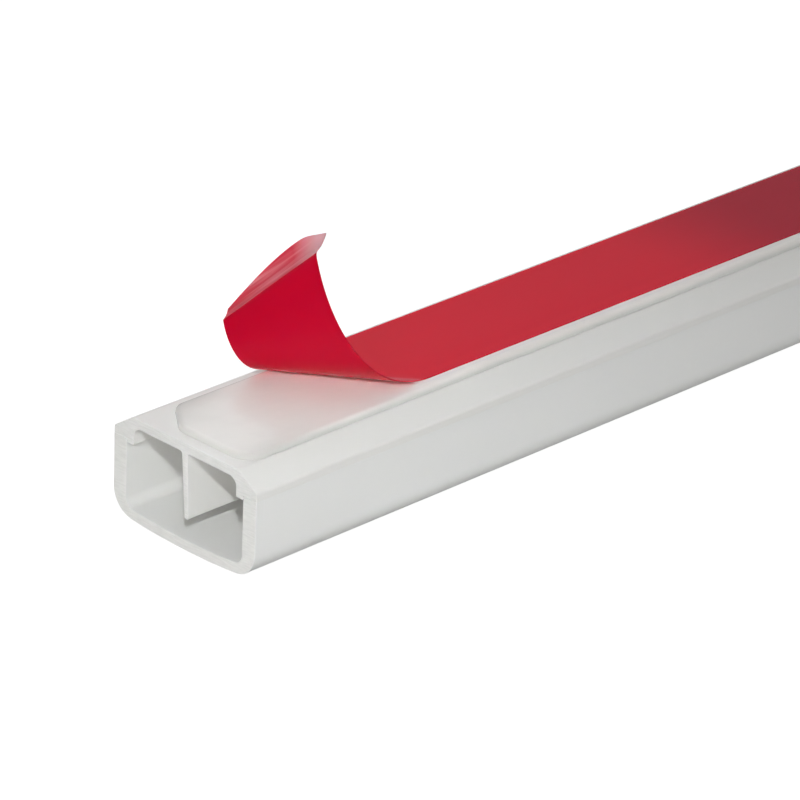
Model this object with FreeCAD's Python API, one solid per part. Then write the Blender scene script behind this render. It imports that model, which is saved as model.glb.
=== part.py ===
"""Self-adhesive mini trunking, 30 x 17 mm, lying on its cover with the adhesive back up.

Millimetres. X runs along the length, from the open end in view at -X to the far end.
Y runs across the width, and +Z points from the cover's front face to the adhesive back.
The origin is at the middle of the length and width, on the lowest line of the cover.
"""
import FreeCAD, Part
import math
import os

# Overall sizes
LENGTH = 1000.0            # a retail length of mini trunking
WIDTH = 30.0               # over the cover's side walls
HEIGHT = 17.0              # from the cover's lowest line to the flat back

# Cover: a U-shaped channel with a slightly crowned front
COVER_SIDE_WALL = 2.7
COVER_FRONT_WALL = 1.7
COVER_CORNER_RADIUS = 4.3  # outside
COVER_CROWN_RADIUS = 122.0
COVER_WALL_HEIGHT = 13.2   # from the lowest line to the top edges of the side walls

# Base: flat back, sloped shoulders, short snap legs and the divider
BACK_THICKNESS = 1.5
BACK_FLAT_WIDTH = 22.2
BACK_EDGE_RADIUS = 0.6     # where the flat back turns down into each shoulder
SHOULDER_HEIGHT = 14.5     # height of the shoulder's outer corner
SHOULDER_INSET = 0.25      # the shoulder stands back from the cover's side face
SHOULDER_EDGE_RADIUS = 0.5
LIP_WIDTH = 1.1            # outer strip of the shoulder that sits on the cover's side wall
RELIEF_HEIGHT = 0.3        # the shoulder's underside clears the wall inside that strip
SHOULDER_FILLET = 1.5      # inside, between the back and each leg
LEG_THICKNESS = 1.4
LEG_BOTTOM = 12.2
DIVIDER_ROOT = 1.2
DIVIDER_TIP = 0.8
DIVIDER_BOTTOM = 5.1       # height of the divider's free edge above the cover's lowest line
DIVIDER_LEAN = 0.6         # sideways set of the free edge, towards -Y
DIVIDER_FILLET = 0.4

# Snap between the base's legs and the cover's side walls
JOINT_GAP = 0.1            # clearance between leg and wall
BEAD_REACH = 0.3           # how far the bead stands out of the leg
BEAD_HEIGHT = 0.6

# Foam tape and its release liner
TAPE_WIDTH = 20.0
TAPE_EDGE_Y = 9.15         # the +Y edge that tape and liner share
TAPE_THICKNESS = 1.0
TAPE_SETBACK = 2.0         # from each cut end of the trunking
TEAR_LENGTH = 4.4          # foam missing at the open end's +Y corner, along X
TEAR_WIDTH = 5.7           # and along Y
LINER_WIDTH = 17.9
LINER_THICKNESS = 0.15

# Peeled end of the liner: it leaves the tape along a slanted line and rolls up on a cone, with
# a soft crease short of its end. Distances are from the open end, on the film laid flat.
PEEL_START = 25.1          # peel line at the liner's +Y edge
PEEL_END = 41.2            # peel line at the liner's -Y edge
CONE_TIP_OFFSET = 15.3     # from the peel line's start to the cone's tip, back along that line
CURL_TIGHTNESS = 3.61      # degrees of roll for each degree of the film, at the peel line
CURL_RELAX = -2.7          # change of the tightness for each radian of the film
CREASE_REACH = 5.9         # from the film's end to the crease, along its -Y edge
CREASE_TURN = 32.0         # degrees of roll in the crease
CREASE_WIDTH = 1.7         # degrees of the film that the crease is spread over
END_TIGHTNESS = 1.02       # degrees of roll for each degree of the film, past the crease
CURL_SWEEP = 90.0          # degrees of the film about the cone's tip that are worked out
CURL_STEPS = 360
CURL_ROWS = 36             # grid of points on the curl's underside
CURL_COLUMNS = 19

# Values that follow from the sizes above
OPEN_END = -LENGTH / 2
HALF_WIDTH = WIDTH / 2
TAPE_TOP = HEIGHT + TAPE_THICKNESS
LINER_EDGE_Y = TAPE_EDGE_Y


def section_point(y, z):
    """A point of a cross-section in the plane of the open end."""
    return FreeCAD.Vector(OPEN_END, y, z)


def rounded_chain(corners):
    """Edges through (y, z, radius) corners, each turned by a tangent arc, ends left as they are."""
    points = [section_point(y, z) for y, z, radius in corners]
    edges = []
    last = points[0]
    for i in range(1, len(points) - 1):
        radius = corners[i][2]
        corner = points[i]
        if radius == 0:
            edges.append(Part.makeLine(last, corner))
            last = corner
            continue
        back = (points[i - 1] - corner).normalize()
        ahead = (points[i + 1] - corner).normalize()
        half_angle = back.getAngle(ahead) / 2
        start = corner + back * (radius / math.tan(half_angle))
        end = corner + ahead * (radius / math.tan(half_angle))
        towards_centre = (back + ahead).normalize()
        middle = corner + towards_centre * (radius / math.sin(half_angle) - radius)
        edges.append(Part.makeLine(last, start))
        edges.append(Part.Arc(start, middle, end).toShape())
        last = end
    edges.append(Part.makeLine(last, points[-1]))
    return edges


def section_arc(start, middle, end):
    """An arc through three (y, z) points of a cross-section."""
    return Part.Arc(section_point(*start), section_point(*middle), section_point(*end)).toShape()


def extrude_section(edges):
    """A solid of the trunking's full length from the edges of a closed cross-section."""
    outline = Part.Wire(Part.__sortEdges__(edges))
    return Part.Face(outline).extrude(FreeCAD.Vector(LENGTH, 0, 0))


def flipped(points):
    """The same (y, z) points on the other side of the middle plane, in reverse order."""
    return [(-y, z) for y, z in reversed(points)]


def crowned_corner(half_width, radius, crown_radius, lowest):
    """Start, middle and end of the +Y arc from a crowned floor up to an upright side face."""
    centre_y = half_width - radius
    crown_to_centre = crown_radius - radius
    centre_z = lowest + crown_radius - math.sqrt(crown_to_centre ** 2 - centre_y ** 2)
    floor_angle = math.asin(centre_y / crown_to_centre) - math.pi / 2
    points = []
    for angle in (floor_angle, floor_angle / 2, 0.0):
        points.append((centre_y + radius * math.cos(angle), centre_z + radius * math.sin(angle)))
    return points


def crowned_channel(half_width, radius, crown_radius, lowest):
    """Arcs of one crowned surface of the cover with its two corners, and its two upper ends."""
    right = crowned_corner(half_width, radius, crown_radius, lowest)
    left = flipped(right)
    arcs = [section_arc(*left), section_arc(left[2], (0.0, lowest), right[0]), section_arc(*right)]
    return arcs, left[0], right[2]


def bead_corners(face_y, low, height, reach):
    """Corners of a snap bead, or its groove, that stands out of an upright face towards +Y."""
    return [
        (face_y, low),
        (face_y + reach, low + reach),
        (face_y + reach, low + height - reach / 2),
        (face_y, low + height),
    ]


def make_cover():
    """The U-shaped cover, with a groove for the base's snap bead in each side wall."""
    inner_half = HALF_WIDTH - COVER_SIDE_WALL
    outer_arcs, outer_left, outer_right = crowned_channel(
        HALF_WIDTH, COVER_CORNER_RADIUS, COVER_CROWN_RADIUS, 0.0)
    inner_arcs, inner_left, inner_right = crowned_channel(
        inner_half, COVER_CORNER_RADIUS - COVER_SIDE_WALL,
        COVER_CROWN_RADIUS - COVER_FRONT_WALL, COVER_FRONT_WALL)
    groove = bead_corners(inner_half, LEG_BOTTOM, BEAD_HEIGHT + JOINT_GAP, BEAD_REACH)
    wall = [inner_right] + groove
    wall += [(inner_half, COVER_WALL_HEIGHT), (HALF_WIDTH, COVER_WALL_HEIGHT), outer_right]
    edges = outer_arcs + inner_arcs
    for points in (wall, flipped(wall)):
        edges += rounded_chain([(y, z, 0.0) for y, z in points])
    return extrude_section(edges)


def half_back(side):
    """Outer half of the base's section on one side (+1 or -1), from the middle of the back
    out over the shoulder, down the leg and back under the flat to the divider's root."""
    leg_outer = HALF_WIDTH - COVER_SIDE_WALL - JOINT_GAP
    leg_inner = leg_outer - LEG_THICKNESS
    shoulder_y = HALF_WIDTH - SHOULDER_INSET
    lip_y = shoulder_y - LIP_WIDTH
    relief_z = COVER_WALL_HEIGHT + RELIEF_HEIGHT
    underside = HEIGHT - BACK_THICKNESS
    bead = bead_corners(leg_outer, LEG_BOTTOM + JOINT_GAP, BEAD_HEIGHT, BEAD_REACH)
    tip_y = side * -DIVIDER_LEAN
    corners = [
        (0.0, HEIGHT, 0.0),
        (BACK_FLAT_WIDTH / 2, HEIGHT, BACK_EDGE_RADIUS),
        (shoulder_y, SHOULDER_HEIGHT, SHOULDER_EDGE_RADIUS),
        (shoulder_y, COVER_WALL_HEIGHT, 0.0),
        (lip_y, COVER_WALL_HEIGHT, 0.0),
        (lip_y, relief_z, 0.0),
        (leg_outer, relief_z, 0.0),
    ]
    corners += [(y, z, 0.0) for y, z in reversed(bead)]
    corners += [
        (leg_outer, LEG_BOTTOM, 0.0),
        (leg_inner, LEG_BOTTOM, 0.0),
        (leg_inner, underside, SHOULDER_FILLET),
        (DIVIDER_ROOT / 2, underside, DIVIDER_FILLET),
        (tip_y + DIVIDER_TIP / 2, DIVIDER_BOTTOM, 0.0),
        (tip_y, DIVIDER_BOTTOM, 0.0),
    ]
    return rounded_chain([(side * y, z, radius) for y, z, radius in corners])


def make_base():
    """The back with its shoulders, snap legs and divider, one extrusion."""
    return extrude_section(half_back(1) + half_back(-1))


def strip_on_back(points, bottom, thickness):
    """A flat strip on the back from its outline, as (distance from the open end, y) points."""
    corners = [FreeCAD.Vector(OPEN_END + distance, y, bottom) for distance, y in points]
    outline = Part.makePolygon(corners + corners[:1])
    return Part.Face(outline).extrude(FreeCAD.Vector(0, 0, thickness))


def make_tape():
    """The foam tape along the flat back; its front +Y corner tore off with the liner."""
    low_y = TAPE_EDGE_Y - TAPE_WIDTH
    far = LENGTH - TAPE_SETBACK
    outline = [
        (TAPE_SETBACK, low_y),
        (far, low_y),
        (far, TAPE_EDGE_Y),
        (TAPE_SETBACK + TEAR_LENGTH, TAPE_EDGE_Y),
        (TAPE_SETBACK, TAPE_EDGE_Y - TEAR_WIDTH),
    ]
    return strip_on_back(outline, HEIGHT, TAPE_THICKNESS)


def peel_axes():
    """The cone's tip on the flat film, the peel line's direction and the one square to it."""
    along = FreeCAD.Vector(PEEL_END - PEEL_START, -LINER_WIDTH, 0).normalize()
    away = along.cross(FreeCAD.Vector(0, 0, 1))
    start = FreeCAD.Vector(OPEN_END + PEEL_START, LINER_EDGE_Y, TAPE_TOP)
    return start - along * CONE_TIP_OFFSET, along, away


def film_polar(distance, y):
    """Angle from the peel line and reach from the cone's tip of a point of the flat film."""
    tip, along, away = peel_axes()
    reach = FreeCAD.Vector(OPEN_END + distance, y, TAPE_TOP) - tip
    return math.degrees(math.atan2(reach.dot(away), reach.dot(along))), reach.Length


def tightness(film_angle, crease_angle):
    """Degrees of roll for each degree of the film, at an angle from the peel line."""
    offset = (film_angle - crease_angle) / CREASE_WIDTH
    crease = CREASE_TURN / (CREASE_WIDTH * math.sqrt(2 * math.pi)) * math.exp(-offset ** 2 / 2)
    if film_angle < crease_angle:
        return crease + CURL_TIGHTNESS + CURL_RELAX * math.radians(film_angle)
    return crease + END_TIGHTNESS


def curl_rulings():
    """Directions of the rolled film's straight lines from the cone's tip, at even film angles."""
    tip, ruling, away = peel_axes()
    normal = FreeCAD.Vector(0, 0, 1)
    crease_angle = film_polar(TAPE_SETBACK + CREASE_REACH, LINER_EDGE_Y - LINER_WIDTH)[0]
    step = CURL_SWEEP / CURL_STEPS
    rulings = [ruling]
    for i in range(CURL_STEPS):
        turn = tightness(step * (i + 0.5), crease_angle) * step
        normal = FreeCAD.Rotation(ruling, -turn).multVec(normal)
        ruling = FreeCAD.Rotation(normal, -step).multVec(ruling)
        rulings.append(ruling)
    return rulings


def curl_point(rulings, distance, y):
    """Where a point on the underside of the flat liner goes once its end is peeled. From the
    peel line to its cut end the film wraps a cone that is tangent to the tape."""
    film_angle, reach = film_polar(distance, y)
    position = max(film_angle, 0.0) / CURL_SWEEP * CURL_STEPS
    before = int(position)
    part_way = position - before
    ruling = rulings[before] * (1 - part_way) + rulings[before + 1] * part_way
    return peel_axes()[0] + ruling.normalize() * reach


def film_end(y):
    """Distance of the film's cut end from the open end; its +Y corner follows the tear."""
    torn = max(y - (TAPE_EDGE_Y - TEAR_WIDTH), 0.0)
    return TAPE_SETBACK + TEAR_LENGTH * torn / TEAR_WIDTH


def curl_surface():
    """The peeled film's underside, through a grid of points from the peel line to its end."""
    rulings = curl_rulings()
    rows = []
    for i in range(CURL_ROWS):
        peeled = i / (CURL_ROWS - 1)
        row = []
        for j in range(CURL_COLUMNS):
            across = j / (CURL_COLUMNS - 1)
            y = LINER_EDGE_Y - LINER_WIDTH * across
            start = PEEL_START + (PEEL_END - PEEL_START) * across
            distance = start + (film_end(y) - start) * peeled
            row.append(curl_point(rulings, distance, y))
        rows.append(row)
    surface = Part.BSplineSurface()
    surface.interpolate(rows)
    return surface.toShape()


def make_liner():
    """The release liner: flat on the tape, with its peeled end rolled up."""
    low_y = LINER_EDGE_Y - LINER_WIDTH
    far = LENGTH - TAPE_SETBACK
    outline = [(PEEL_END, low_y), (far, low_y), (far, LINER_EDGE_Y), (PEEL_START, LINER_EDGE_Y)]
    flat = strip_on_back(outline, TAPE_TOP, LINER_THICKNESS)
    curl = curl_surface().makeOffsetShape(LINER_THICKNESS, 0.001, fill=True)
    return flat.fuse(curl)


def main():
    os.makedirs("parts", exist_ok=True)
    nodes = {
        "trunking_cover": make_cover(),
        "trunking_base": make_base(),
        "adhesive_tape": make_tape(),
        "release_liner": make_liner(),
    }
    for name, shape in nodes.items():
        box = shape.BoundBox
        print(name, shape.isValid(), len(shape.Solids), round(shape.Volume, 2),
              [round(v, 2) for v in (box.XMin, box.XMax, box.YMin, box.YMax, box.ZMin, box.ZMax)])
        shape.exportStep("parts/" + name + ".step")


main()
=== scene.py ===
"""Dresses a length of self-adhesive mini trunking whose release liner is peeled at one end.

Settings are in metres. The meshes are made in millimetres and brought to metres at the end.
X runs along the length from the open end, +Z points from the cover's front to the back.
"""

import math

import bmesh
import bpy
from mathutils import Matrix, Vector


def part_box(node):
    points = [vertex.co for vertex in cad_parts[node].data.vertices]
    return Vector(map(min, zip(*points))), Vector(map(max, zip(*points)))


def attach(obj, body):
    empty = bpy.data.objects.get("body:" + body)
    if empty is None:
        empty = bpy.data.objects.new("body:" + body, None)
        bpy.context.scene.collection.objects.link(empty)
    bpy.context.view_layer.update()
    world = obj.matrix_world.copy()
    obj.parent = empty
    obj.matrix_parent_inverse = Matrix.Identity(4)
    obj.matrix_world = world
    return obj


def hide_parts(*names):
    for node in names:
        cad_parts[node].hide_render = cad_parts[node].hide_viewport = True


bl_info = {
    "name": "Mini Trunking",
    "version": (1, 0, 0),
    "blender": (4, 5, 0),
    "location": "View3D > Sidebar > Trunking",
    "description": "Builds a dressed length of mini trunking with tape and a peeled liner",
    "category": "Add Mesh",
}

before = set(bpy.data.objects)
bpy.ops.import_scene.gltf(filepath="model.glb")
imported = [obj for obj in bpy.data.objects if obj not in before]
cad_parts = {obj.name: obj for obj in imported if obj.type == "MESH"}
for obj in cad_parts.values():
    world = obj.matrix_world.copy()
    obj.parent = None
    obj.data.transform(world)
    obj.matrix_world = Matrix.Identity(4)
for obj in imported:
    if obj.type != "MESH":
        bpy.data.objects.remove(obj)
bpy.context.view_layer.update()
COVER_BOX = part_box("trunking_cover")
TAPE_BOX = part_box("adhesive_tape")

MM = 1000.0                       # millimetres in a metre
OPEN_END = COVER_BOX[0][0] * MM
FAR_END = COVER_BOX[1][0] * MM
TAPE_START = TAPE_BOX[0][0] * MM - OPEN_END
TAPE_END = TAPE_BOX[1][0] * MM - OPEN_END
FILM_EDGE = TAPE_BOX[1][1] * MM   # the +Y edge that tape and film share
FILM_LEVEL = TAPE_BOX[1][2] * MM

# Millimetres
LEG_THICKNESS = 1.4
LEG_BOTTOM = 12.6                 # above the cover's lowest line
LEG_OUTER_RADIUS = 0.12
LEG_INNER_RADIUS = 0.2
BEAD_REACH = 0.15                 # of the snap bead, out of the leg
BEAD_HEIGHT = 0.4
JOINT_GAP = 0.1                   # between leg and wall
LIP_WIDTH = 1.1                   # strip of the shoulder that sits on the cover's side wall
RELIEF_HEIGHT = 0.06              # gap above the wall inside that strip
SHOULDER_INSET = 0.02             # from the cover's side face back to the shoulder
SHOULDER_EDGE_RADIUS = 0.5
SHOULDER_FILLET = 1.5             # inside, between the back and each leg
BACK_EDGE_RADIUS = 0.6
DIVIDER_ROOT = 1.2
DIVIDER_TIP = 0.8
DIVIDER_TIP_RADIUS = 0.15
DIVIDER_FILLET = 0.4
CUT_ZONE = 0.7                    # length of the short faces next to each saw cut
CUT_CHAMFER = 0.06
FILM_GAP = 0.02                   # between the tape and the film's underside
BEND_MARGIN = 2.0                 # finely divided film past the end of the peel line
FLOOR_GAP = 0.02                  # between the floor and the cover's lowest line
FLOOR_REACH = 4000.0

# The film's end: lengths in millimetres, and shares of the film's width
TORN_LENGTH = 7.7                 # torn off at the +Y edge
TORN_SHARE = 0.8
SLANT_LENGTH = 1.2                # cut off at the -Y edge
SLANT_SHARE = 0.28
END_CURVE = 1.5                   # exponent that bends both

ARC_STEP = 8.0                    # degrees of arc for each segment of a small radius
CROWN_STEP = 0.5                  # and of the crowned front
CURL_STEPS = 720                  # steps of the film's angle that its roll is worked out in
CURL_STEP = math.radians(0.125)
CURL_ROWS = 150                   # rows of faces over the peeled end
FLAT_ROWS = 24                    # and over the rest of the film
FILM_COLUMNS = 40                 # faces across the film
TAPE_CORNER_SEGMENTS = 8          # of the tape's corners seen from above
TAPE_RIM_SEGMENTS = 4             # and of its soft upper edges
PAST_CREASE = 30                  # steps from the middle of the crease to clear of it


# Settings

class CoverSettings(bpy.types.PropertyGroup):
    """Sizes and colour of the U-shaped cover."""
    width: bpy.props.FloatProperty(
        name="Width", description="Over the side walls",
        default=0.030, unit="LENGTH", subtype="DISTANCE")
    wall_height: bpy.props.FloatProperty(
        name="Wall height", description="From the lowest line to the top of the side walls",
        default=0.0132, unit="LENGTH", subtype="DISTANCE")
    side_wall: bpy.props.FloatProperty(
        name="Side wall", description="Thickness of the side walls",
        default=0.0027, unit="LENGTH", subtype="DISTANCE")
    front_wall: bpy.props.FloatProperty(
        name="Front wall", description="Thickness of the crowned front",
        default=0.0017, unit="LENGTH", subtype="DISTANCE")
    corner_radius: bpy.props.FloatProperty(
        name="Corner radius", description="Outside radius between front and side",
        default=0.0043, unit="LENGTH", subtype="DISTANCE")
    crown_radius: bpy.props.FloatProperty(
        name="Crown radius", description="Radius of the slightly crowned front",
        default=0.122, unit="LENGTH", subtype="DISTANCE")
    colour: bpy.props.FloatVectorProperty(
        name="Colour", description="Colour of the cover's plastic",
        default=(0.97, 0.98, 0.965), subtype="COLOR", size=3, min=0.0, max=1.0)


class BaseSettings(bpy.types.PropertyGroup):
    """Sizes and colour of the base with its shoulders, legs and divider."""
    height: bpy.props.FloatProperty(
        name="Height", description="From the cover's lowest line to the flat back",
        default=0.017, unit="LENGTH", subtype="DISTANCE")
    flat_width: bpy.props.FloatProperty(
        name="Flat width", description="Width of the flat back",
        default=0.0222, unit="LENGTH", subtype="DISTANCE")
    thickness: bpy.props.FloatProperty(
        name="Thickness", description="Thickness of the back",
        default=0.0015, unit="LENGTH", subtype="DISTANCE")
    shoulder_height: bpy.props.FloatProperty(
        name="Shoulder height", description="Height of the shoulder's outer corner",
        default=0.0145, unit="LENGTH", subtype="DISTANCE")
    divider_bottom: bpy.props.FloatProperty(
        name="Divider edge", description="Height of the divider's free edge",
        default=0.0051, unit="LENGTH", subtype="DISTANCE")
    divider_lean: bpy.props.FloatProperty(
        name="Divider lean", description="Sideways set of the divider's free edge",
        default=0.0006, unit="LENGTH", subtype="DISTANCE")
    colour: bpy.props.FloatVectorProperty(
        name="Colour", description="Colour of the base's plastic",
        default=(0.955, 0.955, 0.93), subtype="COLOR", size=3, min=0.0, max=1.0)


class TapeSettings(bpy.types.PropertyGroup):
    """Sizes and colour of the foam tape."""
    edge_radius: bpy.props.FloatProperty(
        name="Edge radius", description="Softness of the tape's upper edges",
        default=0.0008, unit="LENGTH", subtype="DISTANCE")
    corner_radius: bpy.props.FloatProperty(
        name="Corner radius", description="Rounding of the cut corners seen from above",
        default=0.0012, unit="LENGTH", subtype="DISTANCE")
    front_radius: bpy.props.FloatProperty(
        name="Front radius", description="Rounding of the front corner on the -Y side",
        default=0.0036, unit="LENGTH", subtype="DISTANCE")
    tear_length: bpy.props.FloatProperty(
        name="Tear length", description="Foam missing at the torn corner, lengthwise",
        default=0.0044, unit="LENGTH", subtype="DISTANCE")
    tear_width: bpy.props.FloatProperty(
        name="Tear width", description="Foam missing at the torn corner, across",
        default=0.0057, unit="LENGTH", subtype="DISTANCE")
    colour: bpy.props.FloatVectorProperty(
        name="Colour", description="Colour of the adhesive's upper face",
        default=(1.0, 0.975, 0.94), subtype="COLOR", size=3, min=0.0, max=1.0)
    # Painted shade: the adhesive's colour is darkened towards the open end
    painted_front_shade: bpy.props.FloatVectorProperty(
        name="Front shade colour", description="Painted shade on the adhesive near the open end",
        default=(0.80, 0.785, 0.755), subtype="COLOR", size=3, min=0.0, max=1.0)
    # Painted shade: the foam's cut sides are darker than the tape's upper face
    foam_side_shade: bpy.props.FloatVectorProperty(
        name="Foam colour", description="Colour of the foam at the cut sides",
        default=(0.83, 0.83, 0.80), subtype="COLOR", size=3, min=0.0, max=1.0)


class LinerSettings(bpy.types.PropertyGroup):
    """Sizes and colour of the release liner and the way its end rolls up."""
    width: bpy.props.FloatProperty(
        name="Width", description="Width of the film",
        default=0.0179, unit="LENGTH", subtype="DISTANCE")
    thickness: bpy.props.FloatProperty(
        name="Thickness", description="Thickness of the film",
        default=0.00014, unit="LENGTH", subtype="DISTANCE")
    peel_start: bpy.props.FloatProperty(
        name="Peel start", description="Peel line at the +Y edge, from the open end",
        default=0.0251, unit="LENGTH", subtype="DISTANCE")
    peel_end: bpy.props.FloatProperty(
        name="Peel end", description="Peel line at the -Y edge, from the open end",
        default=0.0412, unit="LENGTH", subtype="DISTANCE")
    tip_offset: bpy.props.FloatProperty(
        name="Cone tip offset", description="From the peel line's start to the cone's tip",
        default=0.0153, unit="LENGTH", subtype="DISTANCE")
    tightness: bpy.props.FloatProperty(
        name="Tightness", description="Roll for each degree of film at the peel line",
        default=3.61)
    relax: bpy.props.FloatProperty(
        name="Relax", description="Change of the tightness for each radian of film",
        default=-2.7)
    crease_reach: bpy.props.FloatProperty(
        name="Crease reach", description="From tape's end to crease, at the -Y edge",
        default=0.0061, unit="LENGTH", subtype="DISTANCE")
    crease_turn: bpy.props.FloatProperty(
        name="Crease turn", description="Roll in the crease short of the film's end",
        default=math.radians(54.0), subtype="ANGLE")
    crease_width: bpy.props.FloatProperty(
        name="Crease width", description="Angle of the film that the crease takes up",
        default=math.radians(0.8), subtype="ANGLE")
    end_tightness: bpy.props.FloatProperty(
        name="End tightness", description="Roll for each degree of film past the crease",
        default=-2.7)
    colour: bpy.props.FloatVectorProperty(
        name="Colour", description="Colour of the film where it is lifted",
        default=(0.55, 0.002, 0.027), subtype="COLOR", size=3, min=0.0, max=1.0)
    # Painted light: the film on the white foam near the peel line is made lighter, for
    # light the foam sends back through it
    lit_colour: bpy.props.FloatVectorProperty(
        name="Lit colour", description="Colour on the white foam, near the peel line",
        default=(1.0, 0.010, 0.036), subtype="COLOR", size=3, min=0.0, max=1.0)
    # Painted light just above the foam, where the film is lit from below
    painted_fold_light: bpy.props.FloatVectorProperty(
        name="Fold light colour", description="Colour just above the foam, lit from below",
        default=(0.97, 0.10, 0.14), subtype="COLOR", size=3, min=0.0, max=1.0)
    # Painted reflection: the film past the crease is lighter
    painted_crease_light: bpy.props.FloatVectorProperty(
        name="Crease colour", description="Colour past the crease",
        default=(0.74, 0.024, 0.06), subtype="COLOR", size=3, min=0.0, max=1.0)
    # Painted reflection in pale streaks past the crease
    painted_streak_sheen: bpy.props.FloatVectorProperty(
        name="Pale colour", description="Colour of the paled streaks past the crease",
        default=(0.93, 0.25, 0.29), subtype="COLOR", size=3, min=0.0, max=1.0)
    # Painted highlight at the film's tip past the crease
    painted_tip_highlight: bpy.props.FloatVectorProperty(
        name="Tip colour", description="Colour of the tip past the crease",
        default=(1.0, 0.46, 0.50), subtype="COLOR", size=3, min=0.0, max=1.0)
    # Painted shade: the film on the foam darkens further from the open end
    painted_far_shade: bpy.props.FloatVectorProperty(
        name="Far shade colour", description="Colour on the foam further along",
        default=(0.54, 0.006, 0.030), subtype="COLOR", size=3, min=0.0, max=1.0)


class StudioSettings(bpy.types.PropertyGroup):
    """Camera, lights and floor."""
    key_power: bpy.props.FloatProperty(
        name="Key power", description="Power of the key light",
        default=0.035, min=0.0, unit="POWER")
    softbox_power: bpy.props.FloatProperty(
        name="Softbox power", description="Power of the softbox behind the trunking",
        default=10.0, min=0.0, unit="POWER")
    fill_power: bpy.props.FloatProperty(
        name="Fill power", description="Power of the low soft light on the camera's side",
        default=0.25, min=0.0, unit="POWER")
    front_power: bpy.props.FloatProperty(
        name="Front power", description="Power of the soft light into the channels",
        default=5.5, min=0.0, unit="POWER")
    sky: bpy.props.FloatProperty(
        name="Sky", description="Strength of the even studio light",
        default=0.22, min=0.0)
    room: bpy.props.FloatProperty(
        name="Room", description="Strength of the room's bright end in reflections",
        default=0.6, min=0.0)
    floor_colour: bpy.props.FloatVectorProperty(
        name="Floor", description="Colour of the floor",
        default=(0.4, 0.4, 0.4), subtype="COLOR", size=3, min=0.0, max=1.0)


# Outlines and solids

def rounded_section(bm, corners):
    """One face in the plane of the open end from (y, z, radius) corners."""
    verts = [bm.verts.new((OPEN_END, y, z)) for y, z, _ in corners]
    bm.faces.new(verts)
    for i, (vert, (_, _, radius)) in enumerate(zip(verts, corners)):
        if radius == 0:
            continue
        y, z = corners[i][:2]
        last_y, last_z = corners[i - 1][:2]
        next_y, next_z = corners[(i + 1) % len(corners)][:2]
        back = Vector((last_y - y, last_z - z))
        ahead = Vector((next_y - y, next_z - z))
        opening = back.angle(ahead)
        segments = max(2, round(math.degrees(math.pi - opening) / ARC_STEP))
        bmesh.ops.bevel(
            bm, geom=[vert], offset=radius / math.tan(opening / 2), offset_type="OFFSET",
            affect="VERTICES", segments=segments, profile=0.5, material=-1,
            clamp_overlap=False)
    return bm.faces[:][0]


def line_to(bm, vert, y, z):
    """Draws a straight edge of an outline and returns its end."""
    new = bmesh.ops.extrude_vert_indiv(bm, verts=[vert])["verts"][0]
    new.co = (OPEN_END, y, z)
    return new


def arc_about(bm, vert, centre_y, centre_z, angle, step=ARC_STEP):
    """Draws an arc of an outline about a centre and returns its end."""
    steps = max(3, round(math.degrees(abs(angle)) / step))
    spun = bmesh.ops.spin(
        bm, geom=[vert], cent=(OPEN_END, centre_y, centre_z), axis=(1, 0, 0),
        angle=angle, steps=steps, use_duplicate=False)
    return [part for part in spun["geom_last"] if isinstance(part, bmesh.types.BMVert)][0]


def draw_crown(bm, vert, half_width, radius, crown_radius, lowest, direction):
    """Draws one crowned surface with its two corners, from the top of one to that of the
    other. The direction is 1 from -Y to +Y and -1 the other way."""
    centre_y = half_width - radius
    reach = crown_radius - radius
    centre_z = lowest + crown_radius - math.sqrt(reach ** 2 - centre_y ** 2)
    half_crown = math.asin(centre_y / reach)
    corner = direction * (math.pi / 2 - half_crown)
    vert = line_to(bm, vert, -direction * half_width, centre_z)
    vert = arc_about(bm, vert, -direction * centre_y, centre_z, corner, ARC_STEP / 2)
    vert = arc_about(
        bm, vert, 0, lowest + crown_radius, direction * 2 * half_crown, CROWN_STEP)
    return arc_about(bm, vert, direction * centre_y, centre_z, corner, ARC_STEP / 2)


def bead_corners(face_y, low, height, reach):
    """Corners of a snap bead, or its groove, that stands out of an upright face to +Y."""
    return [
        (face_y, low),
        (face_y + reach, low + reach),
        (face_y + reach, low + height - reach / 2),
        (face_y, low + height),
    ]


def push_along(bm, face, distance, keep=False):
    """Extrudes a section along the trunking and returns the face at the new end."""
    made = bmesh.ops.extrude_face_region(bm, geom=[face])["geom"]
    verts = [part for part in made if isinstance(part, bmesh.types.BMVert)]
    bmesh.ops.translate(bm, verts=verts, vec=(distance, 0, 0))
    if not keep:
        bmesh.ops.delete(bm, geom=[face], context="FACES_ONLY")
    return [part for part in made if isinstance(part, bmesh.types.BMFace)][0]


def extruded_length(bm, section):
    """Extrudes a section over the whole length. Its saw cuts have softened edges and get
    the second finish."""
    bmesh.ops.translate(bm, verts=bm.verts[:], vec=(CUT_CHAMFER, 0, 0))
    far = push_along(bm, section, CUT_ZONE, keep=True)
    far = push_along(bm, far, FAR_END - OPEN_END - 2 * CUT_ZONE - 2 * CUT_CHAMFER)
    far = push_along(bm, far, CUT_ZONE)
    bmesh.ops.recalc_face_normals(bm, faces=bm.faces[:])
    for end in (section, far):
        bmesh.ops.inset_region(bm, faces=[end], thickness=CUT_CHAMFER, depth=CUT_CHAMFER)
        end.material_index = 1


def as_object(bm, name, materials, smooth_angle=30.0):
    """Turns the finished mesh into an object in metres, smooth between sharp edges."""
    bmesh.ops.scale(bm, vec=(1 / MM,) * 3, verts=bm.verts[:])
    mesh = bpy.data.meshes.new(name)
    bm.to_mesh(mesh)
    bm.free()
    mesh.polygons.foreach_set("use_smooth", [True] * len(mesh.polygons))
    mesh.set_sharp_from_angle(angle=math.radians(smooth_angle))
    for material in materials:
        mesh.materials.append(material)
    piece = bpy.data.objects.new(name, mesh)
    bpy.context.scene.collection.objects.link(piece)
    return piece


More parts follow.
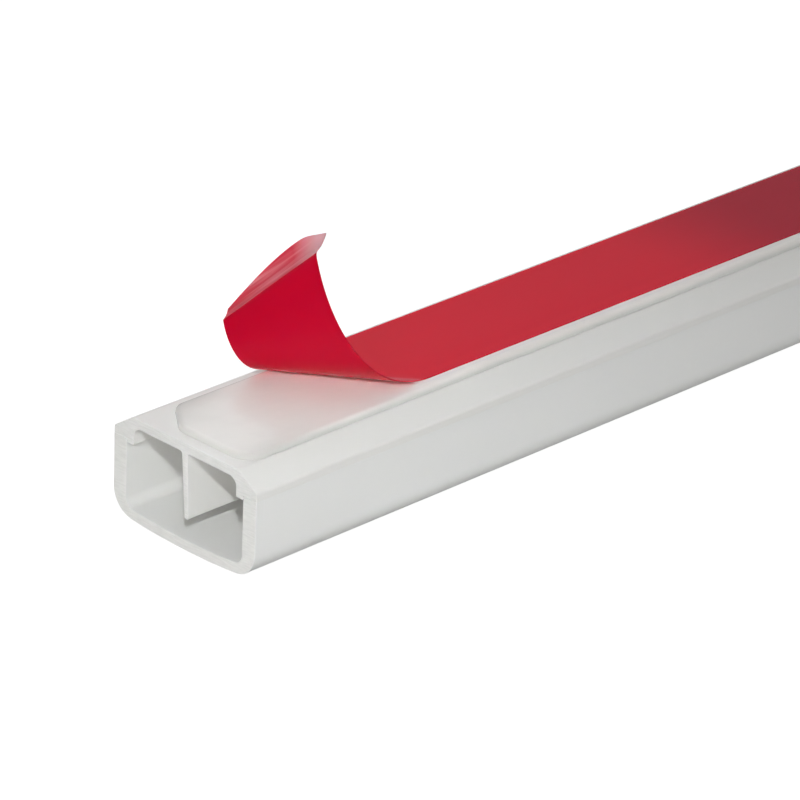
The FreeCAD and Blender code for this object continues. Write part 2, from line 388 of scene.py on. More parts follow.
def hand_over(piece, node):
    """Lets a piece stand for its CAD node."""
    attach(piece, "root")
    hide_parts(node)


# Materials

# Painted shade: the saw cuts are made darker, as a share of the extruded plastic's colour
CUT_FACE_PAINTED_SHADE = 0.965                # of the extruded plastic's colour

# How far light goes in: weight, radius of each colour, and scale in metres
WHITE_GLOW = (0.15, (1.0, 1.0, 0.9), 0.003)
RED_GLOW = (0.4, (1.0, 0.15, 0.2), 0.0015)

# Where painted light and shade change, in millimetres: from the open end, or up from the
# tape's face
FRONT_SHADE_RANGE = (5.0, 24.0)
FAR_SHADE_RANGE = (95.0, 126.0)
FOAM_SIDE_SHADE_RANGE = (-0.7, -0.1)
FOLD_LIGHT_RANGE = (0.16, 0.35)
LIFTED_RANGE = (0.5, 1.3)

STREAK_SIZE = (0.016, 0.0012, 0.01)    # metres along the crease, across it, off the film
# Painted highlight at the film's tip
TIP_HIGHLIGHT_SPAN = (0.30, 0.02)           # from where to where, in streak lengths short of the edge


def new_material(name, colour, roughness):
    """A material with its main shader; returns material, node tree and shader."""
    material = bpy.data.materials.new(name)
    material.use_nodes = True
    tree = material.node_tree
    shader = tree.nodes["Principled BSDF"]
    shader.inputs["Base Color"].default_value = (*colour, 1.0)
    shader.inputs["Roughness"].default_value = roughness
    return material, tree, shader


def object_noise(tree, stretch, scale, detail):
    """Noise on the object's own coordinates, stretched by a factor on each axis."""
    place = tree.nodes.new("ShaderNodeTexCoord")
    mapping = tree.nodes.new("ShaderNodeMapping")
    mapping.inputs["Scale"].default_value = stretch
    texture = tree.nodes.new("ShaderNodeTexNoise")
    texture.inputs["Scale"].default_value = scale
    texture.inputs["Detail"].default_value = detail
    tree.links.new(place.outputs["Object"], mapping.inputs["Vector"])
    tree.links.new(mapping.outputs["Vector"], texture.inputs["Vector"])
    return texture


def tint(tree, shader, texture, colour, other, low=0.35, high=0.65):
    """Mixes two colours by a texture into the shader's base colour."""
    ramp = tree.nodes.new("ShaderNodeValToRGB")
    ramp.color_ramp.elements[0].position = low
    ramp.color_ramp.elements[0].color = (*colour, 1.0)
    ramp.color_ramp.elements[1].position = high
    ramp.color_ramp.elements[1].color = (*other, 1.0)
    tree.links.new(texture.outputs["Fac"], ramp.inputs["Fac"])
    tree.links.new(ramp.outputs["Color"], shader.inputs["Base Color"])
    return ramp.outputs["Color"]


def ramp_along(tree, axis, origin, limits):
    """A soft ramp from 0 to 1 on one of the object's own axes, between two places that are
    given in millimetres from an origin."""
    place = tree.nodes.new("ShaderNodeTexCoord")
    split = tree.nodes.new("ShaderNodeSeparateXYZ")
    ramp = tree.nodes.new("ShaderNodeMapRange")
    ramp.interpolation_type = "SMOOTHSTEP"
    ramp.inputs["From Min"].default_value = (origin + limits[0]) / MM
    ramp.inputs["From Max"].default_value = (origin + limits[1]) / MM
    tree.links.new(place.outputs["Object"], split.inputs["Vector"])
    tree.links.new(split.outputs[axis], ramp.inputs["Value"])
    return ramp.outputs["Result"]


def mixed(tree, factor, first, second):
    """Mixes two colours, each a value or an output, by a factor's output."""
    mix = tree.nodes.new("ShaderNodeMix")
    mix.data_type = "RGBA"
    tree.links.new(factor, mix.inputs["Factor"])
    for name, colour in (("A", first), ("B", second)):
        sockets = [part for part in mix.inputs if part.name == name]
        socket = [part for part in sockets if part.type == "RGBA"][0]
        if isinstance(colour, tuple):
            socket.default_value = (*colour, 1.0)
        else:
            tree.links.new(colour, socket)
    return [part for part in mix.outputs if part.type == "RGBA"][0]


def vary_roughness(tree, shader, texture, low, high):
    """Lets a texture move the roughness between two values."""
    spread = tree.nodes.new("ShaderNodeMapRange")
    spread.inputs["To Min"].default_value = low
    spread.inputs["To Max"].default_value = high
    tree.links.new(texture.outputs["Fac"], spread.inputs["Value"])
    tree.links.new(spread.outputs["Result"], shader.inputs["Roughness"])


def add_bump(tree, shader, texture, strength, distance, under=None):
    """Adds a bump from a texture, on top of another bump if one is given."""
    bump = tree.nodes.new("ShaderNodeBump")
    bump.inputs["Strength"].default_value = strength
    bump.inputs["Distance"].default_value = distance
    tree.links.new(texture.outputs["Fac"], bump.inputs["Height"])
    if under:
        tree.links.new(under.outputs["Normal"], bump.inputs["Normal"])
    tree.links.new(bump.outputs["Normal"], shader.inputs["Normal"])
    return bump


def shaded(colour, factor):
    """A colour made darker or lighter."""
    return tuple(min(1.0, part * factor) for part in colour)


def let_light_in(shader, glow):
    """Lets light a little way in, so that thin walls and film glow softly."""
    weight, radius, scale = glow
    shader.inputs["Subsurface Weight"].default_value = weight
    shader.inputs["Subsurface Radius"].default_value = radius
    shader.inputs["Subsurface Scale"].default_value = scale


def extruded_plastic(name, colour):
    """Semi-gloss plastic with the faint lines that a die leaves along an extrusion."""
    material, tree, shader = new_material(name, colour, roughness=0.34)
    let_light_in(shader, WHITE_GLOW)
    shader.inputs["Specular IOR Level"].default_value = 0.3
    clouds = object_noise(tree, stretch=(0.25, 1.0, 1.0), scale=60.0, detail=3.0)
    tint(tree, shader, clouds, shaded(colour, 0.975), shaded(colour, 1.015))
    die_lines = object_noise(tree, stretch=(0.004, 1.0, 1.0), scale=2600.0, detail=2.0)
    vary_roughness(tree, shader, die_lines, low=0.28, high=0.42)
    soft_waves = object_noise(tree, stretch=(0.06, 1.0, 1.0), scale=150.0, detail=2.0)
    bump = add_bump(tree, shader, soft_waves, strength=0.25, distance=0.0002)
    add_bump(tree, shader, die_lines, strength=0.12, distance=0.00003, under=bump)
    return material


def sawn_plastic(name, colour):
    """The same plastic where the saw has left it matt and finely scored, painted a bit
    darker as shade.
    """
    # Painted shade on the cut faces
    colour = shaded(colour, CUT_FACE_PAINTED_SHADE)
    material, tree, shader = new_material(name, colour, roughness=0.6)
    let_light_in(shader, WHITE_GLOW)
    shader.inputs["Specular IOR Level"].default_value = 0.3
    scores = object_noise(tree, stretch=(1.0, 0.12, 1.0), scale=4200.0, detail=3.0)
    tint(tree, shader, scores, shaded(colour, 0.95), shaded(colour, 1.03))
    add_bump(tree, shader, scores, strength=0.35, distance=0.00006)
    return material


# Pieces

def make_cover():
    """Models the cover. Its saw cuts share the base's colour."""
    settings = bpy.context.scene.trunking_cover
    half = settings.width * MM / 2
    top = settings.wall_height * MM
    wall = settings.side_wall * MM
    inner = half - wall
    front = settings.front_wall * MM
    radius = settings.corner_radius * MM
    crown = settings.crown_radius * MM
    groove = bead_corners(inner, LEG_BOTTOM, BEAD_HEIGHT + JOINT_GAP, BEAD_REACH)

    bm = bmesh.new()
    first = bm.verts.new((OPEN_END, -half, top))
    vert = draw_crown(bm, first, half, radius, crown, 0.0, 1)
    for y, z in [(half, top), (inner, top)] + list(reversed(groove)):
        vert = line_to(bm, vert, y, z)
    vert = draw_crown(bm, vert, inner, radius - wall, crown - front, front, -1)
    for y, z in groove + [(inner, top)]:
        vert = line_to(bm, vert, -y, z)
    bm.edges.new((vert, first))
    section = bmesh.ops.contextual_create(bm, geom=bm.edges[:])["faces"][0]
    extruded_length(bm, section)
    plastic = extruded_plastic("cover plastic", settings.colour)
    sawn = sawn_plastic("cover saw cut", bpy.context.scene.trunking_base.colour)
    piece = as_object(bm, "cover_shell", [plastic, sawn])
    hand_over(piece, "trunking_cover")


def half_back(side):
    """Corners of the base's section on one side, from the flat's edge to the divider."""
    cover = bpy.context.scene.trunking_cover
    base = bpy.context.scene.trunking_base
    half = cover.width * MM / 2
    top = cover.wall_height * MM
    height = base.height * MM
    leg_outer = half - cover.side_wall * MM - JOINT_GAP
    leg_inner = leg_outer - LEG_THICKNESS
    shoulder_y = half - SHOULDER_INSET
    lip_y = shoulder_y - LIP_WIDTH
    underside = height - base.thickness * MM
    tip_y = side * -base.divider_lean * MM
    bead = bead_corners(leg_outer, LEG_BOTTOM + JOINT_GAP, BEAD_HEIGHT, BEAD_REACH)
    corners = [
        (base.flat_width * MM / 2, height, BACK_EDGE_RADIUS),
        (shoulder_y, base.shoulder_height * MM, SHOULDER_EDGE_RADIUS),
        (shoulder_y, top, 0.0),
        (lip_y, top, 0.0),
        (lip_y, top + RELIEF_HEIGHT, 0.0),
        (leg_outer, top + RELIEF_HEIGHT, 0.0),
    ]
    corners += [(y, z, 0.0) for y, z in reversed(bead)]
    corners += [
        (leg_outer, LEG_BOTTOM, LEG_OUTER_RADIUS),
        (leg_inner, LEG_BOTTOM, LEG_INNER_RADIUS),
        (leg_inner, underside, SHOULDER_FILLET),
        (DIVIDER_ROOT / 2, underside, DIVIDER_FILLET),
        (tip_y + DIVIDER_TIP / 2, base.divider_bottom * MM, DIVIDER_TIP_RADIUS),
    ]
    return [(side * y, z, radius) for y, z, radius in corners]


def make_base():
    """Models the base."""
    settings = bpy.context.scene.trunking_base
    bm = bmesh.new()
    section = rounded_section(bm, half_back(1) + list(reversed(half_back(-1))))
    extruded_length(bm, section)
    plastic = extruded_plastic("base plastic", settings.colour)
    sawn = sawn_plastic("base saw cut", settings.colour)
    piece = as_object(bm, "base_profile", [plastic, sawn])
    hand_over(piece, "trunking_base")


def adhesive_film(name):
    """Clear tacky adhesive over the foam: wet gloss with slow dents and fine grain,
    darkened by painted shade towards the open end and on the foam's cut sides."""
    settings = bpy.context.scene.trunking_tape
    colour = tuple(settings.colour)
    material, tree, shader = new_material(name, colour, roughness=0.16)
    let_light_in(shader, WHITE_GLOW)
    shader.inputs["Specular IOR Level"].default_value = 0.4
    upper = ramp_along(tree, "Z", FILM_LEVEL, FOAM_SIDE_SHADE_RANGE)
    # Painted shade: the adhesive darkens towards the open end
    past_front_shade = ramp_along(tree, "X", OPEN_END, FRONT_SHADE_RANGE)
    adhesive = mixed(tree, past_front_shade, tuple(settings.painted_front_shade), colour)
    # Painted shade on the tape's cut sides, below its upper face
    surface = mixed(tree, upper, tuple(settings.foam_side_shade), adhesive)
    tree.links.new(surface, shader.inputs["Base Color"])
    dents = object_noise(tree, stretch=(0.7, 1.0, 1.0), scale=230.0, detail=2.0)
    vary_roughness(tree, shader, dents, low=0.1, high=0.3)
    bump = add_bump(tree, shader, dents, strength=0.5, distance=0.00025)
    grain = object_noise(tree, stretch=(1.0, 1.0, 1.0), scale=2400.0, detail=2.0)
    add_bump(tree, shader, grain, strength=0.15, distance=0.00003, under=bump)
    return material


def make_tape():
    """Models the foam tape, whose +Y corner at the open end is torn off."""
    settings = bpy.context.scene.trunking_tape
    (low_x, low_y, low_z), (high_x, high_y, high_z) = TAPE_BOX
    near, far = low_x * MM, high_x * MM
    right, left = low_y * MM, high_y * MM
    bm = bmesh.new()
    outline = [
        (near, right), (far, right), (far, left),
        (near + settings.tear_length * MM, left),
        (near, left - settings.tear_width * MM),
    ]
    verts = [bm.verts.new((x, y, low_z * MM)) for x, y in outline]
    bm.faces.new(verts)
    for vert in verts:
        radius = settings.front_radius if vert == verts[0] else settings.corner_radius
        bmesh.ops.bevel(
            bm, geom=[vert], offset=radius * MM, offset_type="OFFSET",
            affect="VERTICES", segments=TAPE_CORNER_SEGMENTS, profile=0.5, material=-1,
            clamp_overlap=False)
    made = bmesh.ops.extrude_face_region(bm, geom=bm.faces[:])["geom"]
    top = [part for part in made if isinstance(part, bmesh.types.BMVert)]
    bmesh.ops.translate(bm, verts=top, vec=(0, 0, (high_z - low_z) * MM))
    bmesh.ops.recalc_face_normals(bm, faces=bm.faces[:])
    upper = [face for face in bm.faces if face.normal.z > 0.9]
    rim = [edge for face in upper for edge in face.edges]
    bmesh.ops.bevel(
        bm, geom=rim, offset=settings.edge_radius * MM, offset_type="OFFSET",
        affect="EDGES", segments=TAPE_RIM_SEGMENTS, profile=0.5, material=-1,
        clamp_overlap=True)
    piece = as_object(bm, "foam_tape", [adhesive_film("tape adhesive")])
    hand_over(piece, "adhesive_tape")


def peel_axes():
    """The cone's tip in the film's plane, the way along the peel line and the one across
    it towards the film's end."""
    settings = bpy.context.scene.trunking_liner
    start = Vector((OPEN_END + settings.peel_start * MM, FILM_EDGE, FILM_LEVEL))
    run = (settings.peel_end - settings.peel_start) * MM
    along = Vector((run, -settings.width * MM, 0)).normalized()
    return start - along * settings.tip_offset * MM, along, along.cross(Vector((0, 0, 1)))


def film_polar(distance, y):
    """Angle from the peel line and reach from the cone's tip of a point of flat film."""
    tip, along, away = peel_axes()
    reach = Vector((OPEN_END + distance, y, FILM_LEVEL)) - tip
    return math.atan2(reach.dot(away), reach.dot(along)), reach.length


def find_crease():
    """Angle of the crease from the peel line, and its reach at the -Y edge."""
    settings = bpy.context.scene.trunking_liner
    far_y = FILM_EDGE - settings.width * MM
    return film_polar(TAPE_START + settings.crease_reach * MM, far_y)


def tightness(film_angle, crease_angle):
    """Roll for each degree of the film, at an angle from the peel line."""
    settings = bpy.context.scene.trunking_liner
    offset = (film_angle - crease_angle) / settings.crease_width
    sharpness = settings.crease_turn / (settings.crease_width * math.sqrt(2 * math.pi))
    crease = sharpness * math.exp(-offset ** 2 / 2)
    if film_angle < crease_angle:
        return crease + settings.tightness + settings.relax * film_angle
    return crease + settings.end_tightness


def curl_frames():
    """Directions along the rolled film's straight lines and out of its upper face, at even
    steps of the film's angle."""
    crease_angle = find_crease()[0]
    ruling = peel_axes()[1]
    normal = Vector((0, 0, 1))
    frames = [(ruling, normal)]
    for i in range(CURL_STEPS):
        turn = tightness(CURL_STEP * (i + 0.5), crease_angle) * CURL_STEP
        normal = Matrix.Rotation(-turn, 3, ruling) @ normal
        ruling = Matrix.Rotation(-CURL_STEP, 3, normal) @ ruling
        frames.append((ruling, normal))
    return frames


def wrapped(frames, distance, y, lift):
    """Where a point of the flat film goes, by its distance from the open end."""
    film_angle, reach = film_polar(distance, y)
    if film_angle <= 0:
        return Vector((OPEN_END + distance, y, FILM_LEVEL + lift))
    position = film_angle / CURL_STEP
    before = int(position)
    ruling, normal = [
        start.lerp(end, position - before).normalized()
        for start, end in zip(frames[before], frames[before + 1])]
    return peel_axes()[0] + ruling * reach + normal * lift


def film_end(y):
    """Distance of the film's end from the open end. The end is cut slanting at the -Y edge
    and its +Y corner is torn off in a curve."""
    across = (FILM_EDGE - y) / (bpy.context.scene.trunking_liner.width * MM)
    torn = max(0.0, 1.0 - across / TORN_SHARE)
    slant = max(0.0, (across - (1.0 - SLANT_SHARE)) / SLANT_SHARE)
    return TAPE_START + TORN_LENGTH * torn ** END_CURVE + SLANT_LENGTH * slant ** END_CURVE


def creased_film(name, ruling, normal):
    """The film past its crease, lighter with painted reflection, paler in painted streaks
    of sheen along the crease and with a painted highlight at its tip. The streaks are
    turned to the film's ruling and normal there."""
    settings = bpy.context.scene.trunking_liner
    colour = tuple(settings.painted_crease_light)
    material, tree, shader = new_material(name, colour, roughness=0.3)
    let_light_in(shader, RED_GLOW)
    place = tree.nodes.new("ShaderNodeTexCoord")
    mapping = tree.nodes.new("ShaderNodeMapping")
    mapping.vector_type = "TEXTURE"
    turn = Matrix((ruling, normal.cross(ruling), normal)).transposed().to_euler()
    mapping.inputs["Location"].default_value = peel_axes()[0] / MM
    mapping.inputs["Rotation"].default_value = turn
    mapping.inputs["Scale"].default_value = STREAK_SIZE
    streaks = tree.nodes.new("ShaderNodeTexNoise")
    streaks.inputs["Scale"].default_value = 1.0
    streaks.inputs["Detail"].default_value = 2.0
    tree.links.new(place.outputs["Object"], mapping.inputs["Vector"])
    tree.links.new(mapping.outputs["Vector"], streaks.inputs["Vector"])
    # Painted reflection in pale streaks along the crease
    paled = tint(
        tree, shader, streaks, colour, tuple(settings.painted_streak_sheen), low=0.48, high=0.7)
    split = tree.nodes.new("ShaderNodeSeparateXYZ")
    tree.links.new(mapping.outputs["Vector"], split.inputs["Vector"])
    edge = find_crease()[1] / MM / STREAK_SIZE[0]
    near_tip = tree.nodes.new("ShaderNodeMapRange")
    near_tip.inputs["From Min"].default_value = edge - TIP_HIGHLIGHT_SPAN[0]
    near_tip.inputs["From Max"].default_value = edge - TIP_HIGHLIGHT_SPAN[1]
    tree.links.new(split.outputs["X"], near_tip.inputs["Value"])
    # Painted highlight towards the film's tip
    surface = mixed(tree, near_tip.outputs["Result"], paled, tuple(settings.painted_tip_highlight))
    tree.links.new(surface, shader.inputs["Base Color"])
    add_bump(tree, shader, streaks, strength=0.3, distance=0.0002)
    return material


def liner_film(name):
    """Glossy dyed film, lighter on and just above the white foam as painted light and
    darker further along it as painted shade, with faint lengthwise streaks and soft
    ripples."""
    settings = bpy.context.scene.trunking_liner
    colour = tuple(settings.colour)
    material, tree, shader = new_material(name, colour, roughness=0.2)
    shader.inputs["Specular IOR Level"].default_value = 0.12
    let_light_in(shader, RED_GLOW)
    # Painted light near the peel line, fading into painted shade further along the foam
    far_shade = ramp_along(tree, "X", OPEN_END, FAR_SHADE_RANGE)
    on_foam = mixed(
        tree, far_shade, tuple(settings.lit_colour), tuple(settings.painted_far_shade))
    # Painted light on the film just above the foam
    leaving = ramp_along(tree, "Z", FILM_LEVEL, FOLD_LIGHT_RANGE)
    with_fold_light = mixed(tree, leaving, on_foam, tuple(settings.painted_fold_light))
    lifted = ramp_along(tree, "Z", FILM_LEVEL, LIFTED_RANGE)
    surface = mixed(tree, lifted, with_fold_light, colour)
    tree.links.new(surface, shader.inputs["Base Color"])
    streaks = object_noise(tree, stretch=(0.05, 1.0, 0.4), scale=420.0, detail=3.0)
    vary_roughness(tree, shader, streaks, low=0.14, high=0.3)
    ripples = object_noise(tree, stretch=(0.12, 1.0, 0.6), scale=110.0, detail=2.0)
    bump = add_bump(tree, shader, ripples, strength=0.3, distance=0.0004)
    add_bump(tree, shader, streaks, strength=0.12, distance=0.00006, under=bump)
    return material


def lay_film(bm):
    """Lays the film flat, with fine rows for the peeled end and ever longer ones after."""
    settings = bpy.context.scene.trunking_liner
    rows = CURL_ROWS + FLAT_ROWS
    bmesh.ops.create_grid(bm, x_segments=rows, y_segments=FILM_COLUMNS, size=0.5)
    bend_end = settings.peel_end * MM + BEND_MARGIN
    for vert in bm.verts:
        y = FILM_EDGE - settings.width * MM * (0.5 - vert.co.y)
        row = (vert.co.x + 0.5) * rows
        if row <= CURL_ROWS:
            distance = film_end(y) + (bend_end - film_end(y)) * row / CURL_ROWS
        else:
            share = (row - CURL_ROWS) / FLAT_ROWS
            distance = bend_end + (TAPE_END - bend_end) * share ** 2
        vert.co = (OPEN_END + distance, y, FILM_LEVEL)


def split_at_crease(bm):
    """Cuts the flat film's faces along the crease and gives the end the second material,
    with its painted reflection.
    """
    tip, along, away = peel_axes()
    crease_angle = find_crease()[0]
    bmesh.ops.bisect_plane(
        bm, geom=bm.verts[:] + bm.edges[:] + bm.faces[:], plane_co=tip,
        plane_no=away * math.cos(crease_angle) - along * math.sin(crease_angle))
    for face in bm.faces:
        centre = face.calc_center_median()
        if film_polar(centre.x - OPEN_END, centre.y)[0] > crease_angle:
            face.material_index = 1


def make_liner():
    """Models the release liner: lays its film flat, rolls up the end and thickens it."""
    settings = bpy.context.scene.trunking_liner
    frames = curl_frames()
    bm = bmesh.new()
    lay_film(bm)
    split_at_crease(bm)
    for vert in bm.verts:
        vert.co = wrapped(frames, vert.co.x - OPEN_END, vert.co.y, FILM_GAP)
    bmesh.ops.recalc_face_normals(bm, faces=bm.faces[:])
    flat_face = max(bm.faces, key=lambda face: face.calc_center_median().x)
    if flat_face.normal.z < 0:
        bmesh.ops.reverse_faces(bm, faces=bm.faces[:])
    bmesh.ops.solidify(
        bm, geom=bm.faces[:], thickness=-settings.thickness * MM + FILM_GAP)
    bmesh.ops.recalc_face_normals(bm, faces=bm.faces[:])
    past_crease = frames[round(find_crease()[0] / CURL_STEP) + PAST_CREASE]
    film = liner_film("liner film")
    creased = creased_film("creased liner film", *past_crease)
    piece = as_object(bm, "release_film", [film, creased], smooth_angle=60.0)
    hand_over(piece, "release_liner")


# Studio, in metres

CAMERA_PLACE = (-0.90595, -0.43384, 0.30799)
CAMERA_HEADING = 0.7674           # radians from +X towards +Y
CAMERA_DIP = 0.4446
CAMERA_ROLL = 0.0435
CAMERA_LENS = 208.46              # millimetres, on a sensor 36 mm wide
CAMERA_SENSOR = 36.0
CAMERA_FAR = 50.0

LIGHT_TARGET = Vector((OPEN_END / MM, 0.0, 0.01))
KEY_DISTANCE = 0.5
KEY_PLACE = LIGHT_TARGET + Vector((-1.0, -1.07, 1.12)).normalized() * KEY_DISTANCE
KEY_TARGET = LIGHT_TARGET + Vector((0.03, 0.0, 0.0))
KEY_SIZE = (0.02, 0.02)
KEY_SPREAD = math.radians(32.0)   # narrow, so that the far part is dimmer
SOFTBOX_PLACE = Vector((-0.1, 1.3, 1.3))
SOFTBOX_SIZE = (1.4, 0.9)
FILL_PLACE = LIGHT_TARGET + Vector((-0.576, -0.72, 0.084))
FILL_SIZE = (0.54, 0.3)
FILL_COLOUR = (0.92, 1.0, 1.0)
FRONT_PLACE = LIGHT_TARGET + Vector((-1.3, -0.9, 0.38))
FRONT_SIZE = (0.6, 0.4)
FRONT_COLOUR = (1.0, 0.95, 0.89)

ROOM_BRIGHT_END = (0.35, 0.35, 0.8)    # way to the bright end of the mirrored room
ROOM_FADE = (0.2, 0.8)            # from where to where along it the room brightens
ROOM_DIM = 0.04                   # strength at the other end
FLOOR_GLOW = 0.22                 # the floor's own light, as it falls on the trunking
FLOOR_SEEN = 0.85                 # and as the camera sees it


def make_camera():
    """The camera at the photograph's place and angle."""
    data = bpy.data.cameras.new("camera")
    data.lens = CAMERA_LENS
    data.sensor_width = CAMERA_SENSOR
    data.clip_end = CAMERA_FAR
    camera = bpy.data.objects.new("camera", data)
    bpy.context.scene.collection.objects.link(camera)
    ahead = Vector((
        math.cos(CAMERA_DIP) * math.cos(CAMERA_HEADING),
        math.cos(CAMERA_DIP) * math.sin(CAMERA_HEADING),
        -math.sin(CAMERA_DIP)))
    right = ahead.cross(Vector((0, 0, 1))).normalized()
    up = right.cross(ahead)
    turned_right = right * math.cos(CAMERA_ROLL) + up * math.sin(CAMERA_ROLL)
    turned_up = up * math.cos(CAMERA_ROLL) - right * math.sin(CAMERA_ROLL)
    turn = Matrix((turned_right, turned_up, -ahead)).transposed()
    camera.matrix_world = Matrix.Translation(CAMERA_PLACE) @ turn.to_4x4()
    bpy.context.scene.camera = camera


def area_light(name, place, target, size, power):
    """A rectangular light that faces a target."""
    data = bpy.data.lights.new(name, "AREA")
    data.shape = "RECTANGLE"
    data.size, data.size_y = size
    data.energy = power
    light = bpy.data.objects.new(name, data)
    light.location = place
    light.rotation_euler = (target - place).to_track_quat("-Z", "Y").to_euler()
    bpy.context.scene.collection.objects.link(light)
    return light


def hidden_light(name, place, size, power, colour):
    """A tinted light on the open end that glossy surfaces don't mirror."""
    light = area_light(name, place, LIGHT_TARGET, size, power)
    light.data.color = colour
    light.visible_glossy = False


def room_glow(tree, brightest):
    """Brightness of the mirrored room: bright overhead and far off, dim in front."""
    place = tree.nodes.new("ShaderNodeTexCoord")
    facing = tree.nodes.new("ShaderNodeVectorMath")
    facing.operation = "DOT_PRODUCT"
    facing.inputs[1].default_value = ROOM_BRIGHT_END
    spread = tree.nodes.new("ShaderNodeMapRange")
    spread.inputs["From Min"].default_value = ROOM_FADE[0]
    spread.inputs["From Max"].default_value = ROOM_FADE[1]
    spread.inputs["To Min"].default_value = ROOM_DIM
    spread.inputs["To Max"].default_value = brightest
    tree.links.new(place.outputs["Generated"], facing.inputs[0])
    tree.links.new(facing.outputs["Value"], spread.inputs["Value"])
    return spread.outputs["Result"]


def choice_of(tree, test, otherwise, where_true):
    """Mixes two shaders of the studio's surroundings by a test."""
    choice = tree.nodes.new("ShaderNodeMixShader")
    tree.links.new(test, choice.inputs[0])
    tree.links.new(otherwise.outputs[0], choice.inputs[1])
    tree.links.new(where_true.outputs[0], choice.inputs[2])
    return choice


def make_floor(settings):
    """A pale floor that glows, so that it looks white without much light on it."""
    bm = bmesh.new()
    bmesh.ops.create_grid(bm, x_segments=1, y_segments=1, size=FLOOR_REACH)
    bmesh.ops.translate(bm, verts=bm.verts[:], vec=(0, 0, -FLOOR_GAP))
    material, tree, shader = new_material("floor", settings.floor_colour, roughness=0.85)
    shader.inputs["Specular IOR Level"].default_value = 0.1
    shader.inputs["Emission Color"].default_value = (1.0, 1.0, 1.0, 1.0)
    path = tree.nodes.new("ShaderNodeLightPath")
    glow = tree.nodes.new("ShaderNodeMapRange")
    glow.inputs["To Min"].default_value = FLOOR_GLOW
    glow.inputs["To Max"].default_value = FLOOR_SEEN
    tree.links.new(path.outputs["Is Camera Ray"], glow.inputs["Value"])
    tree.links.new(glow.outputs["Result"], shader.inputs["Emission Strength"])
    floor = as_object(bm, "floor", [material])
    floor.visible_glossy = False


def make_surroundings(settings):
    """Even light from all sides, a room in the reflections and white behind."""
    world = bpy.data.worlds.new("studio")
    world.use_nodes = True
    tree = world.node_tree
    lighting = tree.nodes["Background"]
    lighting.inputs["Color"].default_value = (1.0, 1.0, 1.0, 1.0)
    lighting.inputs["Strength"].default_value = settings.sky
    path = tree.nodes.new("ShaderNodeLightPath")
    room = tree.nodes.new("ShaderNodeBackground")
    tree.links.new(room_glow(tree, settings.room), room.inputs["Strength"])
    mirrored = choice_of(tree, path.outputs["Is Glossy Ray"], lighting, room)
    backdrop = tree.nodes.new("ShaderNodeBackground")
    seen = choice_of(tree, path.outputs["Is Camera Ray"], mirrored, backdrop)
    tree.links.new(seen.outputs[0], tree.nodes["World Output"].inputs["Surface"])
    bpy.context.scene.world = world


def make_studio():
    """Floor, surroundings, lights and camera."""
    settings = bpy.context.scene.trunking_studio
    make_floor(settings)
    make_surroundings(settings)
    key = area_light("key", KEY_PLACE, KEY_TARGET, KEY_SIZE, settings.key_power)
    key.data.spread = KEY_SPREAD
    area_light(
        "softbox", SOFTBOX_PLACE, LIGHT_TARGET, SOFTBOX_SIZE, settings.softbox_power)
    hidden_light("fill", FILL_PLACE, FILL_SIZE, settings.fill_power, FILL_COLOUR)
    hidden_light("front", FRONT_PLACE, FRONT_SIZE, settings.front_power, FRONT_COLOUR)
    make_camera()
    bpy.context.scene.view_settings.view_transform = "Standard"


# Operators

class TRUNKING_OT_cover(bpy.types.Operator):
    """Builds the U-shaped cover"""
    bl_idname = "trunking.cover"
    bl_label = "Cover"

    def execute(self, context):
        make_cover()
        return {"FINISHED"}


class TRUNKING_OT_base(bpy.types.Operator):
    """Builds the base with its shoulders, snap legs and divider"""
    bl_idname = "trunking.base"
    bl_label = "Base"

    def execute(self, context):
        make_base()
        return {"FINISHED"}


class TRUNKING_OT_tape(bpy.types.Operator):
    """Builds the foam tape with its torn corner"""
    bl_idname = "trunking.tape"
    bl_label = "Foam tape"

    def execute(self, context):
        make_tape()
        return {"FINISHED"}


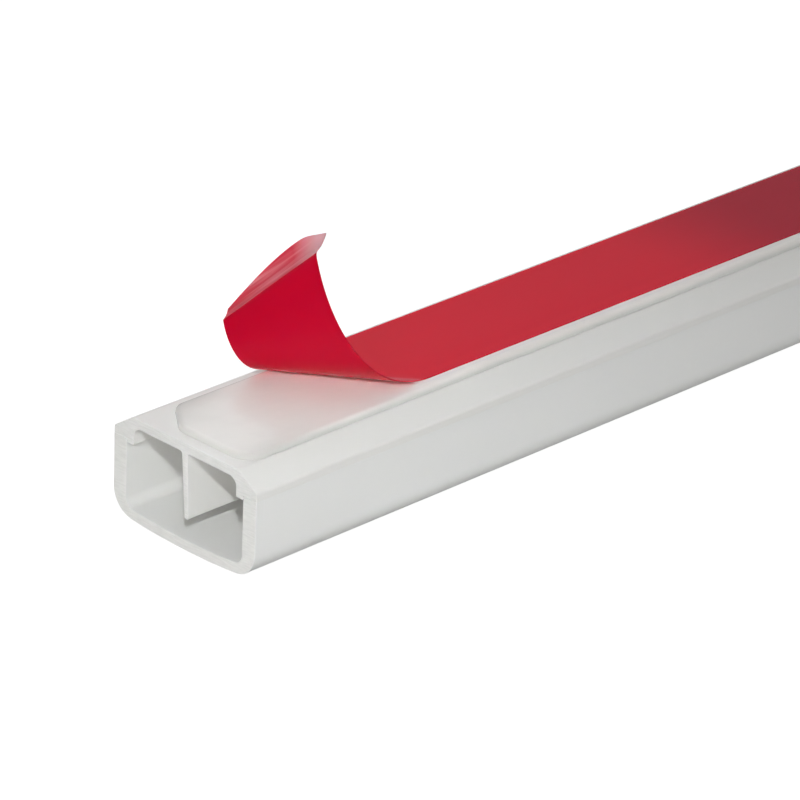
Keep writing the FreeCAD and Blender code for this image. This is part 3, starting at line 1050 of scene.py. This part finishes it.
class TRUNKING_OT_liner(bpy.types.Operator):
    """Builds the release liner with its peeled end"""
    bl_idname = "trunking.liner"
    bl_label = "Release liner"

    def execute(self, context):
        make_liner()
        return {"FINISHED"}


class TRUNKING_OT_studio(bpy.types.Operator):
    """Sets up the floor, the lights and the camera"""
    bl_idname = "trunking.studio"
    bl_label = "Studio"

    def execute(self, context):
        make_studio()
        return {"FINISHED"}


class TRUNKING_PT_panel(bpy.types.Panel):
    """Lists the pieces and their settings"""
    bl_idname = "TRUNKING_PT_panel"
    bl_label = "Mini Trunking"
    bl_space_type = "VIEW_3D"
    bl_region_type = "UI"
    bl_category = "Trunking"

    def draw(self, context):
        for operator, group in PIECES:
            box = self.layout.box()
            box.operator(operator.bl_idname)
            settings = getattr(context.scene, group)
            for name in settings.bl_rna.properties.keys():
                if name not in ("rna_type", "name"):
                    box.prop(settings, name)


GROUPS = {
    "trunking_cover": CoverSettings,
    "trunking_base": BaseSettings,
    "trunking_tape": TapeSettings,
    "trunking_liner": LinerSettings,
    "trunking_studio": StudioSettings,
}
PIECES = (
    (TRUNKING_OT_cover, "trunking_cover"),
    (TRUNKING_OT_base, "trunking_base"),
    (TRUNKING_OT_tape, "trunking_tape"),
    (TRUNKING_OT_liner, "trunking_liner"),
    (TRUNKING_OT_studio, "trunking_studio"),
)


def register():
    """Registers the settings, operators and panel."""
    for name, group in GROUPS.items():
        bpy.utils.register_class(group)
        setattr(bpy.types.Scene, name, bpy.props.PointerProperty(type=group))
    for operator, _ in PIECES:
        bpy.utils.register_class(operator)
    bpy.utils.register_class(TRUNKING_PT_panel)


def unregister():
    """Removes the settings, operators and panel."""
    bpy.utils.unregister_class(TRUNKING_PT_panel)
    for operator, _ in reversed(PIECES):
        bpy.utils.unregister_class(operator)
    for name, group in reversed(GROUPS.items()):
        delattr(bpy.types.Scene, name)
        bpy.utils.unregister_class(group)


def main():
    """Builds everything."""
    register()
    bpy.ops.trunking.studio()
    bpy.ops.trunking.cover()
    bpy.ops.trunking.base()
    bpy.ops.trunking.tape()
    bpy.ops.trunking.liner()


if __name__ == "__main__":
    main()
